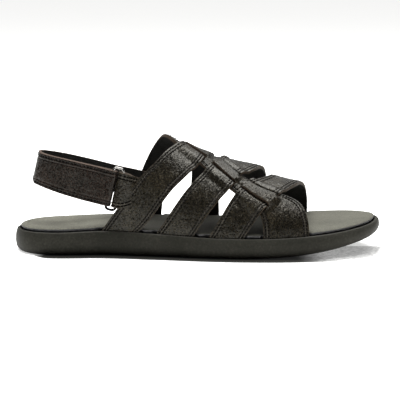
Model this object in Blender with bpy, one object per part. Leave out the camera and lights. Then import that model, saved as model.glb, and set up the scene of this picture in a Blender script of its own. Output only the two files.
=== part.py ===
"""Huarache sandal for the right foot: three crossing straps woven through one long slit strap.

Metres, +Z up, +X to the toe, the lateral side at -Y, origin on the floor under the middle.
Along is a share of LENGTH from the heel, across is a share of BALL from the middle line, and
round is the turn over the last: -1 at the lateral edge, 0 on the ridge, 1 at the medial edge.
"""

import math

import bmesh
import bpy
import numpy as np

# Named sizes
LENGTH = 0.288
BALL = 0.100
INSTEP = 0.075
HEEL_THICK = 0.0190
BALL_THICK = 0.0158
TOE_THICK = 0.0098
TOE_SPRING = 0.0148
SPRING_START = 0.62
RIM = 0.0040
RECESS = 0.0050
CLEARANCE = 0.0003
FOOTBED_PROUD = 0.0034
ARCH_RISE = 0.0022
ARCH_ALONG = 0.42
ARCH_SPREAD = 0.14
ARCH_WIDE = BALL / 3
STRAP = 0.0026
HEEL_STRAP = 0.0022
HEEL_STRAP_WIDE = 0.0250
HEEL_STRAP_HIGH = 0.0668
HEEL_STRAP_INSET = 0.0164
HEEL_STRAP_PITCH = math.radians(13.0)
SEWN_EASE = 0.0200
FLAP = 0.0620
TAB = 0.0020
WIRE = 0.0020
RING_LONG = 0.0346
RING_WIDE = 0.0096
RING_CORNER = 0.0026
RING_SHARE = 0.2330
SEWN_SHARE = 0.855
EYE_SPARE = 0.0002
FOLD_EASE = 0.0140
GROOVE_DEEP = 0.0020
GROOVE_WIDE = 0.0040
GROOVE_STOP = 0.0010
BEDDING = 0.0006
SLIVER = 0.00002
HEEL_STRAP_BACK = LENGTH / 2 - HEEL_STRAP_INSET
RING_ALONG = RING_SHARE * LENGTH
SEWN_FROM = SEWN_SHARE * RING_ALONG

# The outline of the sole, once round from the heel's tip by the lateral side: along, across
OUTLINE = (
    (0.000, -0.039),
    (0.030, -0.261),
    (0.110, -0.361),
    (0.250, -0.357),
    (0.400, -0.422),
    (0.530, -0.490),
    (0.640, -0.518),
    (0.750, -0.513),
    (0.850, -0.458),
    (0.930, -0.341),
    (0.980, -0.188),
    (1.000, 0.023),
    (0.985, 0.192),
    (0.930, 0.377),
    (0.850, 0.487),
    (0.740, 0.522),
    (0.640, 0.480),
    (0.520, 0.384),
    (0.400, 0.312),
    (0.250, 0.305),
    (0.110, 0.295),
    (0.030, 0.175),
)
HALF_STEPS = 33
STRAP_STEPS = 40
LINE_STEPS = 64
FOOT_FROM = 0.80
FOOT_STEPS = 61

# The sole's thickness: along, and its shares of the heel's, the ball's and the toe's thickness
THICKNESS = (
    (0.00, 0.94, 0.00, 0.00),
    (0.12, 0.955, 0.00, 0.00),
    (0.26, 1.02, 0.00, 0.00),
    (0.40, 0.73, 0.26, 0.00),
    (0.54, 0.30, 0.67, 0.00),
    (0.68, 0.00, 1.00, 0.00),
    (0.80, 0.00, 0.79, 0.21),
    (0.88, 0.00, 0.52, 0.48),
    (0.94, 0.00, 0.27, 0.73),
    (1.00, 0.00, 0.00, 1.00),
)

# The sole's side, from its foot up to the rim: inset as a share of RIM, height as a share of its side
SIDE = (
    (1.20, 0.00),
    (0.68, 0.045),
    (0.40, 0.11),
    (0.17, 0.21),
    (0.00, 0.43),
    (0.05, 0.66),
    (0.18, 0.84),
    (0.45, 0.97),
    (0.70, 1.00),
    (0.90, 0.985),
    (1.00, 0.93),
)

# The footbed's edge: inset as a share of RIM, height as a share of its own
PAD_EDGE = (
    (0.30, 0.00),
    (0.00, 0.06),
    (0.00, 0.62),
    (0.16, 0.84),
    (0.55, 0.97),
    (1.30, 1.00),
)

# Sections of the last: along, ridge height (of INSTEP), ridge across, lateral and medial fullness
SECTIONS = (
    (0.20, 1.12, -0.019, 2.0, 2.0),
    (0.30, 1.10, -0.019, 2.0, 2.0),
    (0.42, 0.987, 0.001, 2.0, 2.0),
    (0.46, 0.895, 0.006, 2.0, 2.0),
    (0.50, 0.825, 0.011, 2.0, 2.0),
    (0.58, 0.735, 0.031, 2.0, 2.1),
    (0.62, 0.685, 0.036, 2.05, 2.15),
    (0.66, 0.630, 0.041, 2.1, 2.2),
    (0.70, 0.576, 0.046, 2.15, 2.25),
    (0.74, 0.530, 0.051, 2.2, 2.3),
    (0.82, 0.435, 0.061, 2.3, 2.4),
    (0.90, 0.36, 0.061, 2.3, 2.4),
)

# The long strap from the medial heel over the instep to the lateral ball:
# rear edge along and round, front edge along and round, lift of its middle band in strap thicknesses
LONG_STRAP = (
    (0.288, 1.00, 0.396, 1.00, -0.5),
    (0.316, 0.80, 0.403, 0.82, -0.5),
    (0.346, 0.617, 0.424, 0.58, -0.4),
    (0.384, 0.330, 0.455, 0.37, -0.1),
    (0.414, 0.035, 0.488, 0.25, 0.6),
    (0.448, -0.128, 0.523, 0.165, 1.0),
    (0.493, -0.218, 0.558, 0.04, 0.4),
    (0.535, -0.342, 0.590, -0.165, 1.0),
    (0.580, -0.464, 0.628, -0.288, 0.4),
    (0.630, -0.588, 0.674, -0.362, 1.0),
    (0.661, -0.675, 0.726, -0.403, 0.0),
    (0.672, -0.783, 0.771, -0.493, -0.4),
    (0.675, -0.907, 0.791, -0.697, -0.5),
    (0.674, -1.000, 0.798, -1.000, -0.5),
)
SLIT_NEAR = 0.35
SLIT_FAR = 0.78

# Each crossing strap from its lateral foot to its medial foot:
# rear edge along and round, front edge along and round, lift in strap thicknesses
CROSS_STRAPS = {
    "rear": (
        (0.230, -1.000, 0.326, -1.000, 0.0),
        (0.285, -0.827, 0.380, -0.854, 0.0),
        (0.351, -0.593, 0.450, -0.560, 0.0),
        (0.390, -0.450, 0.480, -0.405, 0.4),
        (0.425, -0.240, 0.501, -0.292, 0.9),
        (0.447, -0.064, 0.515, -0.150, 0.9),
        (0.456, 0.040, 0.526, -0.050, 0.0),
        (0.466, 0.150, 0.536, 0.070, 0.0),
        (0.474, 0.250, 0.545, 0.180, 0.9),
        (0.481, 0.380, 0.553, 0.340, 0.6),
        (0.483, 0.550, 0.557, 0.520, 0.0),
        (0.480, 0.780, 0.559, 0.780, 0.0),
        (0.478, 1.000, 0.560, 1.000, 0.0),
    ),
    "middle": (
        (0.380, -1.000, 0.480, -1.000, 0.0),
        (0.422, -0.837, 0.514, -0.830, 0.0),
        (0.472, -0.590, 0.566, -0.571, 0.0),
        (0.514, -0.364, 0.591, -0.462, 0.9),
        (0.532, -0.244, 0.600, -0.394, 0.9),
        (0.546, -0.129, 0.609, -0.320, 0.0),
        (0.559, -0.040, 0.618, -0.268, 0.0),
        (0.573, 0.060, 0.632, -0.215, 0.9),
        (0.590, 0.190, 0.652, -0.110, 0.9),
        (0.606, 0.380, 0.675, 0.120, 0.5),
        (0.616, 0.580, 0.690, 0.380, 0.0),
        (0.620, 0.800, 0.697, 0.700, 0.0),
        (0.620, 1.000, 0.698, 1.000, 0.0),
    ),
    "front": (
        (0.521, -1.000, 0.614, -1.000, 0.0),
        (0.557, -0.800, 0.648, -0.803, 0.0),
        (0.586, -0.618, 0.674, -0.660, 0.4),
        (0.605, -0.511, 0.686, -0.609, 0.9),
        (0.617, -0.440, 0.693, -0.572, 0.9),
        (0.631, -0.356, 0.700, -0.525, 0.0),
        (0.645, -0.300, 0.709, -0.475, 0.0),
        (0.660, -0.235, 0.722, -0.410, 0.9),
        (0.682, -0.110, 0.747, -0.250, 0.9),
        (0.705, 0.120, 0.773, -0.040, 0.5),
        (0.721, 0.420, 0.796, 0.300, 0.0),
        (0.731, 0.750, 0.808, 0.680, 0.0),
        (0.733, 1.000, 0.809, 1.000, 0.0),
    ),
}

# The heel strap's line in its own pitched plane, from its sewn end round the heel to the ring:
# forward (of RING_ALONG), across (of BALL), inward lean of its upper edge in degrees,
# width (of HEEL_STRAP_WIDE)
HEEL_LINE = (
    (1.400, 0.143, 8.0, 0.86),
    (1.060, 0.161, 7.0, 0.87),
    (0.860, 0.174, 5.0, 0.89),
    (0.600, 0.176, 3.0, 0.91),
    (0.340, 0.153, 1.0, 0.93),
    (0.140, 0.099, 0.0, 0.94),
    (0.020, 0.021, 0.0, 0.95),
    (0.010, -0.089, 0.0, 0.96),
    (0.120, -0.189, 0.0, 1.00),
    (0.340, -0.261, 1.0, 1.07),
    (0.600, -0.299, 3.0, 1.11),
    (0.820, -0.311, 5.0, 1.11),
    (0.912, -0.314, 6.0, 1.10),
)

# The tab's sections under the rear strap, from its sewn end back: along, lower and upper height (of INSTEP)
TAB_ROOT = (
    (0.375, 0.560, 0.773),
    (0.337, 0.533, 0.807),
)
TAB_SEWN = (0.344, 0.549, 0.787)

# The grooves across the tread, by their place along the sole
GROOVES = (0.08, 0.14, 0.20, 0.52, 0.58, 0.64, 0.70, 0.76, 0.82)
COLOURS = {
    "sole": ((0.052, 0.050, 0.041), 0.75, 0.0),
    "footbed": ((0.185, 0.180, 0.145), 0.70, 0.0),
    "upper": ((0.030, 0.022, 0.018), 0.50, 0.0),
    "heel_strap": ((0.030, 0.022, 0.018), 0.50, 0.0),
    "ring": ((0.72, 0.70, 0.66), 0.20, 1.0),
}


def smooth(rows, at):
    """Values of a table between its rows, by cubic pieces. The first column is the place."""
    table = np.asarray(rows, float)
    knots = table[:, 0]
    values = table[:, 1:]
    slopes = np.gradient(values, knots, axis=0)
    place = np.atleast_1d(np.asarray(at, float))
    cell = np.clip(np.searchsorted(knots, place, side="right") - 1, 0, len(knots) - 2)
    width = (knots[cell + 1] - knots[cell])[:, None]
    part = (place[:, None] - knots[cell][:, None]) / width
    start = values[cell]
    end = values[cell + 1]
    leave = slopes[cell] * width
    arrive = slopes[cell + 1] * width
    square = part ** 2
    cube = part ** 3
    return ((2 * cube - 3 * square + 1) * start + (cube - 2 * square + part) * leave
            + (3 * square - 2 * cube) * end + (cube - square) * arrive)


def rows_by_number(rows):
    """The same table with the row's number as its place."""
    table = np.asarray(rows, float)
    return np.column_stack([np.arange(len(table)), table])


def outline_ring(inset=0.0):
    """The outline once round, moved inward. Point i and point -i face each other across the sole."""
    knots = np.asarray(OUTLINE) * (LENGTH, BALL) - (LENGTH / 2, 0.0)
    wrapped = np.vstack([knots[-3:], knots, knots[:4]])
    numbers = np.column_stack([np.arange(len(wrapped)) - 3.0, wrapped])
    steps = np.arange(2 * HALF_STEPS) * len(knots) / (2 * HALF_STEPS)
    points = smooth(numbers, steps)
    chords = np.roll(points, -1, axis=0) - np.roll(points, 1, axis=0)
    chords /= np.linalg.norm(chords, axis=1)[:, None]
    inward = np.column_stack([-chords[:, 1], chords[:, 0]])
    return points + inset * inward


def tread_height(x):
    """Height of the sole's underside: flat, then rising to the toe."""
    along = np.asarray(x, float) / LENGTH + 0.5
    rise = np.clip((along - SPRING_START) / (1 - SPRING_START), 0.0, None)
    return TOE_SPRING * rise ** 2


def side_height(x):
    """Height of the sole's side at x."""
    along = np.clip(np.asarray(x, float) / LENGTH + 0.5, 0.0, 1.0)
    heel, ball, toe = np.moveaxis(smooth(THICKNESS, along.ravel()).reshape(along.shape + (3,)), -1, 0)
    return heel * HEEL_THICK + ball * BALL_THICK + toe * TOE_THICK


def floor_height(x):
    """Height of the floor of the recess that the footbed lies in."""
    return tread_height(x) + side_height(x) - RECESS


def last_edge(x, side):
    """Across of the last's edge, inside the rim by a strap and its clearance."""
    ring = outline_ring(RIM + CLEARANCE + STRAP)
    half = ring[:HALF_STEPS + 1] if side < 0 else ring[np.r_[0, HALF_STEPS:2 * HALF_STEPS]]
    order = np.argsort(half[:, 0])
    return np.interp(x, half[order, 0], half[order, 1])


def last_section(x):
    """Ridge rise, ridge across, lateral and medial fullness, and the two edges at x."""
    along = x / LENGTH + 0.5
    row = smooth(SECTIONS, along)
    return row[:, 0] * INSTEP, row[:, 1] * BALL, row[:, 2], row[:, 3], last_edge(x, -1), last_edge(x, 1)


def last_points(x, turn):
    """Points of the last's surface at x and round, two arrays of one length."""
    rise, ridge, lateral, medial, low_edge, high_edge = last_section(x)
    full = np.where(turn < 0, lateral, medial)
    edge = np.where(turn < 0, low_edge, high_edge)
    angle = np.clip(np.abs(turn), 0.0, 1.0) * math.pi / 2
    out = np.sin(angle) ** (2 / full)
    up = np.clip(np.cos(angle), 0.0, 1.0) ** (2 / full)
    base = floor_height(x) + CLEARANCE
    return np.column_stack([x, ridge + (edge - ridge) * out, base + rise * up])


def last_surface(x, turn, offset=0.0):
    """The last's surface moved outward along its normal."""
    x = np.asarray(x, float)
    turn = np.asarray(turn, float)
    inner = np.clip(turn, -0.995, 0.995)
    step = 0.0005
    swing = 0.004
    by_x = last_points(x + step, inner) - last_points(x - step, inner)
    by_turn = last_points(x, inner + swing) - last_points(x, inner - swing)
    normal = np.cross(by_x, by_turn)
    normal /= np.linalg.norm(normal, axis=1)[:, None]
    return last_points(x, turn) + np.reshape(offset, (-1, 1)) * normal


def last_turn(x, height, side):
    """Round of the last's surface at x and a height, on one side."""
    rise, _, lateral, medial, _, _ = last_section(x)
    full = lateral if side < 0 else medial
    up = np.clip((height - floor_height(x) - CLEARANCE) / rise, 0.0, 1.0)
    return side * np.arccos(up ** (full / 2)) / (math.pi / 2)


def collection(name):
    """A new collection in the scene."""
    group = bpy.data.collections.new(name)
    bpy.context.scene.collection.children.link(group)
    return group


def closed_loft(name, sections, group):
    """A solid through closed sections, its two end sections filled across."""
    sections = [np.asarray(section, float) for section in sections]
    count = len(sections[0])
    shape = bmesh.new()
    rings = [[shape.verts.new(point) for point in section] for section in sections]
    for low, high in zip(rings[:-1], rings[1:]):
        for i in range(count):
            j = (i + 1) % count
            shape.faces.new((low[i], low[j], high[j], high[i]))
    for ring in (rings[0], rings[-1]):
        for i in range(count // 2):
            corners = [ring[i], ring[i + 1], ring[(count - i - 1) % count], ring[(count - i) % count]]
            corners = [corner for k, corner in enumerate(corners) if corner not in corners[:k]]
            shape.faces.new(corners)
    bmesh.ops.recalc_face_normals(shape, faces=shape.faces)
    mesh = bpy.data.meshes.new(name)
    shape.to_mesh(mesh)
    shape.free()
    solid = bpy.data.objects.new(name, mesh)
    group.objects.link(solid)
    return solid


def combine(target, tool, operation):
    """Apply one Boolean to the target's mesh. A joined tool is removed."""
    modifier = target.modifiers.new(tool.name, "BOOLEAN")
    modifier.operation = operation
    modifier.solver = "EXACT"
    modifier.object = tool
    bpy.context.view_layer.update()
    evaluated = target.evaluated_get(bpy.context.evaluated_depsgraph_get())
    mesh = bpy.data.meshes.new_from_object(evaluated)
    target.modifiers.remove(modifier)
    shape = bmesh.new()
    shape.from_mesh(mesh)
    bmesh.ops.dissolve_degenerate(shape, edges=shape.edges, dist=SLIVER)
    bmesh.ops.triangulate(shape, faces=[face for face in shape.faces if len(face.verts) > 4])
    shape.to_mesh(mesh)
    shape.free()
    old = target.data
    target.data = mesh
    bpy.data.meshes.remove(old)
    mesh.name = target.name
    if operation == "UNION":
        bpy.data.objects.remove(tool)


def strap_edges(rows, steps):
    """A strap's rear and front edges as x and round, and its lift, at even steps along it."""
    table = rows_by_number(rows)
    at = np.linspace(0, len(rows) - 1, steps)
    values = smooth(table, at)
    values[:, 1] = np.clip(values[:, 1], -1.0, 1.0)
    values[:, 3] = np.clip(values[:, 3], -1.0, 1.0)
    values[:, 0] = (values[:, 0] - 0.5) * LENGTH
    values[:, 2] = (values[:, 2] - 0.5) * LENGTH
    return values


def strap_solid(name, rows, group, inner, outer, span=(0.0, 1.0), lifted=True, steps=STRAP_STEPS, across=5):
    """A strap on the last, from its table: the inner face at one offset, the outer face lifted."""
    sections = []
    share = np.linspace(span[0], span[1], across)
    for rear_x, rear_turn, front_x, front_turn, lift in strap_edges(rows, steps):
        x = rear_x + share * (front_x - rear_x)
        turn = rear_turn + share * (front_turn - rear_turn)
        top = outer + (lift * STRAP if lifted else 0.0)
        under = last_surface(x, turn, np.full(across, inner))
        over = last_surface(x, turn, np.full(across, top))
        sections.append(np.vstack([under, over[::-1]]))
    return closed_loft(name, sections, group)


def foot_cutter(name, rows, end, group):
    """The room that a strap's foot needs in the footbed: the strap with its clearance all round."""
    table = strap_edges(rows, FOOT_STEPS)
    feet = table[np.abs(table[:, 1]) > FOOT_FROM]
    feet = feet[np.sign(feet[:, 1]) == end]
    feet = feet[np.argsort(np.abs(feet[:, 1]))]
    sections = []
    for rear_x, rear_turn, front_x, front_turn, _ in feet:
        x = np.linspace(rear_x - CLEARANCE, front_x + CLEARANCE, 5)
        turn = np.linspace(rear_turn, front_turn, 5)
        under = last_surface(x, turn, np.full(5, -CLEARANCE))
        over = last_surface(x, turn, np.full(5, STRAP + RIM))
        sections.append(np.vstack([under, over[::-1]]))
    sections.append(sections[-1] - (0.0, 0.0, RECESS))
    return closed_loft(name, sections, group)


def pitched(forward, across, up):
    """World points of the heel strap's plane, whose origin is at the back of the heel."""
    forward = np.asarray(forward, float)
    across = np.asarray(across, float)
    up = np.asarray(up, float)
    cosine = math.cos(HEEL_STRAP_PITCH)
    sine = math.sin(HEEL_STRAP_PITCH)
    x = -HEEL_STRAP_BACK + forward * cosine + up * sine
    z = HEEL_STRAP_HIGH - forward * sine + up * cosine
    return np.stack([x, across + 0.0 * x, z], axis=-1)


def ribbon(name, middle, lean, wide, thick, group):
    """A strip through plan points (forward, across) of the pitched plane, standing on its edge."""
    middle = np.asarray(middle, float)
    run = np.gradient(middle, axis=0)
    run /= np.linalg.norm(run, axis=1)[:, None]
    normal = np.column_stack([-run[:, 1], run[:, 0]])
    sections = []
    for i, point in enumerate(middle):
        half = wide[i] / 2
        corners = []
        for side, up in ((-1, -1), (1, -1), (1, 1), (-1, 1)):
            place = point + side * thick / 2 * normal[i]
            shift = math.tan(math.radians(lean[i])) * half * up * -math.copysign(1.0, point[1])
            corners.append(pitched(place[0], place[1] + shift, half * up))
        sections.append(corners)
    return closed_loft(name, sections, group)


def make_sole(parts, cutters):
    """The moulded sole: rounded side, raised rim, recess for the footbed, grooves in the tread."""
    sections = []
    for inset, height in SIDE:
        ring = outline_ring(inset * RIM)
        sections.append(np.column_stack([ring, tread_height(ring[:, 0]) + height * side_height(ring[:, 0])]))
    ring = outline_ring(RIM)
    sections.append(np.column_stack([ring, floor_height(ring[:, 0])]))
    sole = closed_loft("sole", sections, parts)
    for number, along in enumerate(GROOVES):
        x = (along - 0.5) * LENGTH
        low = last_edge(x, -1) + GROOVE_STOP
        high = last_edge(x, 1) - GROOVE_STOP
        bpy.ops.mesh.primitive_cube_add(size=1.0)
        groove = bpy.context.object
        groove.name = f"groove_{number}"
        groove.dimensions = (GROOVE_WIDE, high - low, 2 * GROOVE_DEEP)
        groove.location = (x, (low + high) / 2, float(tread_height(x)))
        bpy.ops.object.transform_apply(location=True, rotation=False, scale=True)
        move_to(groove, cutters)
        combine(sole, groove, "DIFFERENCE")
    return sole


def move_to(thing, group):
    """Put an object in one collection only, as a cutter."""
    for owner in list(thing.users_collection):
        owner.objects.unlink(thing)
    group.objects.link(thing)
    thing.hide_render = True
    thing.display_type = "WIRE"


def make_footbed(parts, cutters):
    """The padded footbed, its edge notched for each strap's foot."""
    sections = []
    height = RECESS - CLEARANCE + FOOTBED_PROUD
    for inset, level in PAD_EDGE:
        ring = outline_ring(RIM + CLEARANCE + inset * RIM)
        along = ring[:, 0] / LENGTH + 0.5
        arch = ARCH_RISE * np.exp(-((along - ARCH_ALONG) / ARCH_SPREAD) ** 2)
        arch *= np.clip(ring[:, 1] / ARCH_WIDE, 0.0, 1.0)
        z = floor_height(ring[:, 0]) + CLEARANCE + level * (height + arch)
        sections.append(np.column_stack([ring, z]))
    footbed = closed_loft("footbed", sections, parts)
    for name, rows in list(CROSS_STRAPS.items()) + [("long", LONG_STRAP)]:
        for end in (-1, 1):
            cutter = foot_cutter(f"{name}_room_{end}", rows, end, cutters)
            move_to(cutter, cutters)
            combine(footbed, cutter, "DIFFERENCE")
    return footbed


def ring_half():
    """Half the distance between the middles of the ring's two long bars."""
    return (RING_WIDE - WIRE) / 2


def line_middle(steps):
    """The heel strap's middle line between its two layers, its lean and its width, up to the rear bar.

    Its sewn end lies against the inside of the long strap, so there it follows the last.
    """
    table = rows_by_number(HEEL_LINE)
    values = smooth(table, np.linspace(0, len(HEEL_LINE) - 1, steps))
    middle = values[:, :2] * (RING_ALONG, BALL)
    lean = values[:, 2]
    wide = values[:, 3] * HEEL_STRAP_WIDE
    layer = CLEARANCE + HEEL_STRAP / 2 - (HEEL_STRAP + CLEARANCE) / 2
    for i, (forward, across) in enumerate(middle):
        share = np.clip((forward - SEWN_FROM) / SEWN_EASE, 0.0, 1.0)
        if across > 0 and share > 0:
            share = share * share * (3 - 2 * share)
            edges = pitched(np.full(2, forward), 0.0, np.array([-wide[i], wide[i]]) / 2)
            turn = last_turn(edges[:, 0], edges[:, 2], 1)
            low, high = last_points(edges[:, 0], turn)[:, 1]
            middle[i, 1] += share * ((low + high) / 2 - layer - across)
            lean[i] += share * (math.degrees(math.atan((low - high) / wide[i])) - lean[i])
    return middle, lean, wide


def make_heel_strap(parts):
    """One strap: sewn end, round the heel, through the ring and back over itself as the flap."""
    middle, lean, wide = line_middle(LINE_STEPS)
    bar = middle[-1]
    run = np.gradient(middle, axis=0)
    run /= np.linalg.norm(run, axis=1)[:, None]
    inward = np.column_stack([-run[:, 1], run[:, 0]])
    to_bar = np.linalg.norm(np.diff(middle, axis=0), axis=1)
    to_bar = np.append(np.cumsum(to_bar[::-1])[::-1], 0.0)
    at_bar = WIRE / 2 + CLEARANCE + HEEL_STRAP / 2
    apart = (HEEL_STRAP + CLEARANCE) / 2
    easing = np.clip(to_bar / FOLD_EASE, 0.0, 1.0)
    easing = easing * easing * (3 - 2 * easing)
    half = at_bar + (apart - at_bar) * easing
    leg = middle + inward * half[:, None]
    back = (middle - inward * half[:, None])[to_bar < FLAP]
    turns = np.linspace(0, math.pi, 9)[1:-1]
    base = math.atan2(inward[-1][1], inward[-1][0])
    fold = [bar + at_bar * np.array([math.cos(base - turn), math.sin(base - turn)]) for turn in turns]
    path = np.vstack([leg, fold, back[::-1]])
    leans = np.concatenate([lean, np.full(len(fold), lean[-1]), lean[to_bar < FLAP][::-1]])
    widths = np.concatenate([wide, np.full(len(fold), wide[-1]), wide[to_bar < FLAP][::-1]])
    return ribbon("heel_strap", path, leans, widths, HEEL_STRAP, parts)


def make_ring(parts):
    """The oblong wire ring that the heel strap passes through."""
    bar, lean, _ = line_middle(LINE_STEPS)
    centre = bar[-1] + (ring_half(), 0.0)
    tilt = math.tan(math.radians(lean[-1]))
    straight_long = (RING_LONG - WIRE) / 2 - RING_CORNER
    straight_wide = ring_half() - RING_CORNER
    points = []
    for quarter in range(4):
        wide = straight_wide if quarter in (0, 3) else -straight_wide
        long = straight_long if quarter < 2 else -straight_long
        for turn in np.linspace(quarter, quarter + 1, 5) * math.pi / 2:
            forward = wide + RING_CORNER * math.cos(turn)
            up = long + RING_CORNER * math.sin(turn)
            points.append(pitched(centre[0] + forward, centre[1] + tilt * up, up))
    curve = bpy.data.curves.new("ring", "CURVE")
    curve.dimensions = "3D"
    curve.bevel_depth = WIRE / 2
    curve.bevel_resolution = 2
    spline = curve.splines.new("POLY")
    spline.points.add(len(points) - 1)
    for place, point in zip(spline.points, points):
        place.co = (*point, 1.0)
    spline.use_cyclic_u = True
    ring = bpy.data.objects.new("ring", curve)
    parts.objects.link(ring)
    return ring


def tab_section(along, low, high, inner, outer):
    """A section of the tab that follows the last, between two heights and two offsets."""
    place = np.full(2, (along - 0.5) * LENGTH)
    turn = last_turn(place, np.array([low, high]) * INSTEP, -1)
    under = last_surface(place, turn, np.full(2, inner))
    over = last_surface(place, turn, np.full(2, outer))
    return np.array([under[0], over[0], over[1], under[1]])


def eye_section(turn, spare):
    """A section of the tab's eye round the ring's front bar, turned from outside to inside."""
    line, lean, wide = line_middle(LINE_STEPS)
    bar = line[-1] + (2 * ring_half(), 0.0)
    tilt = math.tan(math.radians(lean[-1]))
    reach = wide[-1] / 2 - spare
    middle = WIRE / 2 + CLEARANCE + TAB / 2
    half = TAB / 2 - spare
    corners = []
    for radius, up in ((middle - half, -1), (middle + half, -1), (middle + half, 1), (middle - half, 1)):
        forward = bar[0] - radius * math.sin(turn)
        across = bar[1] - radius * math.cos(turn) + tilt * reach * up
        corners.append(pitched(forward, across, reach * up))
    return np.array(corners)


def make_tab(group):
    """The leather tab from under the rear strap, back and round the ring's front bar."""
    quarter = np.linspace(0, math.pi / 2, 6)
    outer = CLEARANCE + STRAP / 3
    inner = outer - TAB
    outside = [tab_section(*place, inner, outer) for place in TAB_ROOT]
    outside += [eye_section(turn, 0.0) for turn in quarter]
    tab = closed_loft("tab", outside, group)
    overlap = math.radians(23)
    inside = [eye_section(turn, EYE_SPARE) for turn in np.linspace(math.pi / 2 - overlap, math.pi, 7)]
    sewn = tab_section(*TAB_SEWN, inner - 0.6 * TAB, inner + 0.4 * TAB)
    inside.append(sewn[[1, 0, 3, 2]])
    back = closed_loft("tab_back", inside, group)
    combine(tab, back, "UNION")
    return tab


def make_upper(parts):
    """The woven upper: one wall with its strips raised where they cross."""
    upper = strap_solid("upper", LONG_STRAP, parts, 0.0, STRAP, lifted=False, steps=44, across=7)
    band = strap_solid("band", LONG_STRAP, parts, 2 * BEDDING, STRAP + BEDDING,
                       (SLIT_NEAR, SLIT_FAR), steps=60, across=4)
    combine(upper, band, "UNION")
    for name, rows in CROSS_STRAPS.items():
        strap = strap_solid(name, rows, parts, BEDDING, STRAP)
        combine(upper, strap, "UNION")
    combine(upper, make_tab(parts), "UNION")
    return upper


def finish(thing, name):
    """A material of the part's colour, and smooth shading between its sharp edges."""
    colour, roughness, metallic = COLOURS[name]
    material = bpy.data.materials.new(name)
    material.use_nodes = True
    shader = material.node_tree.nodes["Principled BSDF"]
    shader.inputs["Base Color"].default_value = (*colour, 1.0)
    shader.inputs["Roughness"].default_value = roughness
    shader.inputs["Metallic"].default_value = metallic
    thing.data.materials.clear()
    thing.data.materials.append(material)
    if thing.type == "MESH":
        thing.data.shade_smooth()
        thing.data.set_sharp_from_angle(angle=math.radians(35))


def main():
    """Build every piece of the sandal."""
    for thing in list(bpy.data.objects):
        bpy.data.objects.remove(thing)
    parts = collection("huarache_sandal")
    cutters = collection("cutters")
    finish(make_sole(parts, cutters), "sole")
    finish(make_footbed(parts, cutters), "footbed")
    finish(make_upper(parts), "upper")
    finish(make_heel_strap(parts), "heel_strap")
    finish(make_ring(parts), "ring")


main()
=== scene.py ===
"""Looks of the huarache sandal: woven leather straps, padded footbed, moulded sole, heel strap and ring."""

import math

import bmesh
import bpy
import numpy as np
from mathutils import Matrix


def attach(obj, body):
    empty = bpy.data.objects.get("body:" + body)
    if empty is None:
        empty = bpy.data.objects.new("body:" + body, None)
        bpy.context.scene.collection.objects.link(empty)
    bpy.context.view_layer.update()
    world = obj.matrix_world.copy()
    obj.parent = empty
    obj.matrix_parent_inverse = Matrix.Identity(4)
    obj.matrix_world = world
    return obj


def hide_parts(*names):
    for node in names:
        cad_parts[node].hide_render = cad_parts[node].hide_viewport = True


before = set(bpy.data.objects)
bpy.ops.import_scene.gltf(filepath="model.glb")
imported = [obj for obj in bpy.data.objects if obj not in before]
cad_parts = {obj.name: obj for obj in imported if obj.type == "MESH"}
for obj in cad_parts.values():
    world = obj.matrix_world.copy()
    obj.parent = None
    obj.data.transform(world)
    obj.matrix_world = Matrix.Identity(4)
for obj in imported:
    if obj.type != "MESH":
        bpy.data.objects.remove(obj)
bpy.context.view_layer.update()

# Sizes of the solids: metres, and shares of another length
LENGTH = 0.288
BALL = 0.100
INSTEP = 0.075
HEEL_THICK = 0.0190
BALL_THICK = 0.0158
TOE_THICK = 0.0098
TOE_SPRING = 0.0148
SPRING_START = 0.62
RIM = 0.0040
RECESS = 0.0050
CLEARANCE = 0.0003
FOOTBED_PROUD = 0.0034
ARCH_RISE = 0.0022
ARCH_ALONG = 0.42
ARCH_SPREAD = 0.14
ARCH_WIDE = BALL / 3
STRAP = 0.0026
HEEL_STRAP = 0.0022
HEEL_STRAP_WIDE = 0.0250
HEEL_STRAP_HIGH = 0.0668
HEEL_STRAP_INSET = 0.0164
HEEL_STRAP_PITCH = math.radians(13.0)
SEWN_EASE = 0.0200
FLAP = 0.0620
TAB = 0.0020
WIRE = 0.0020
RING_LONG = 0.0346
RING_WIDE = 0.0096
RING_CORNER = 0.0026
RING_SHARE = 0.2330
SEWN_SHARE = 0.855
EYE_SWELL = 0.0005
FOLD_EASE = 0.0140
GROOVE_DEEP = 0.0020
GROOVE_WIDE = 0.0040
GROOVE_STOP = 0.0010
HEEL_STRAP_BACK = LENGTH / 2 - HEEL_STRAP_INSET
RING_ALONG = RING_SHARE * LENGTH
SEWN_FROM = SEWN_SHARE * RING_ALONG

# Sizes of the sewing: distances from an edge, stitches and the trough that they pull
STITCH_ROWS = (0.0020, 0.0043)
STITCH_PITCH = 0.0025
STITCH_LONG = 0.0014
STITCH_SIDES = 6
STITCH_STEPS = 7
THREAD = 0.00042
STITCH_TROUGH = 0.00034
TROUGH_WIDE = 0.00032
SWELL_WIDE = 0.0005
SWELL_SHARE = 0.35
EDGE_ROUND = 0.00045
THREAD_ARCH = 1.55
THREAD_SUNK = 0.90
THREAD_THIN = 0.62

# Sizes of the weave: a crossing strap over a border, the band over it, the border's dip at its slit
OVER = 0.0027
UNDER_BAND = 0.0031
BORDER_DIP = 0.0024
BAND_EASE = 0.0030
BASE_LIFT = 0.30
LIFT_EASE = 0.24
OPEN_REACH = 0.04
OPEN_EASE = 0.10
OPEN_FROM = 0.02

# How much each surface swells, and the length of its waves with their seed
LEATHER_SWELL = 0.00012
HEEL_STRAP_SWELL = 0.00010
PAD_SWELL = 0.00016
CROSS_WAVES = (0.014, 20)
LONG_WAVES = (0.016, 7)
HEEL_WAVES = (0.018, 31)
PAD_WAVES = (0.024, 3)

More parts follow.
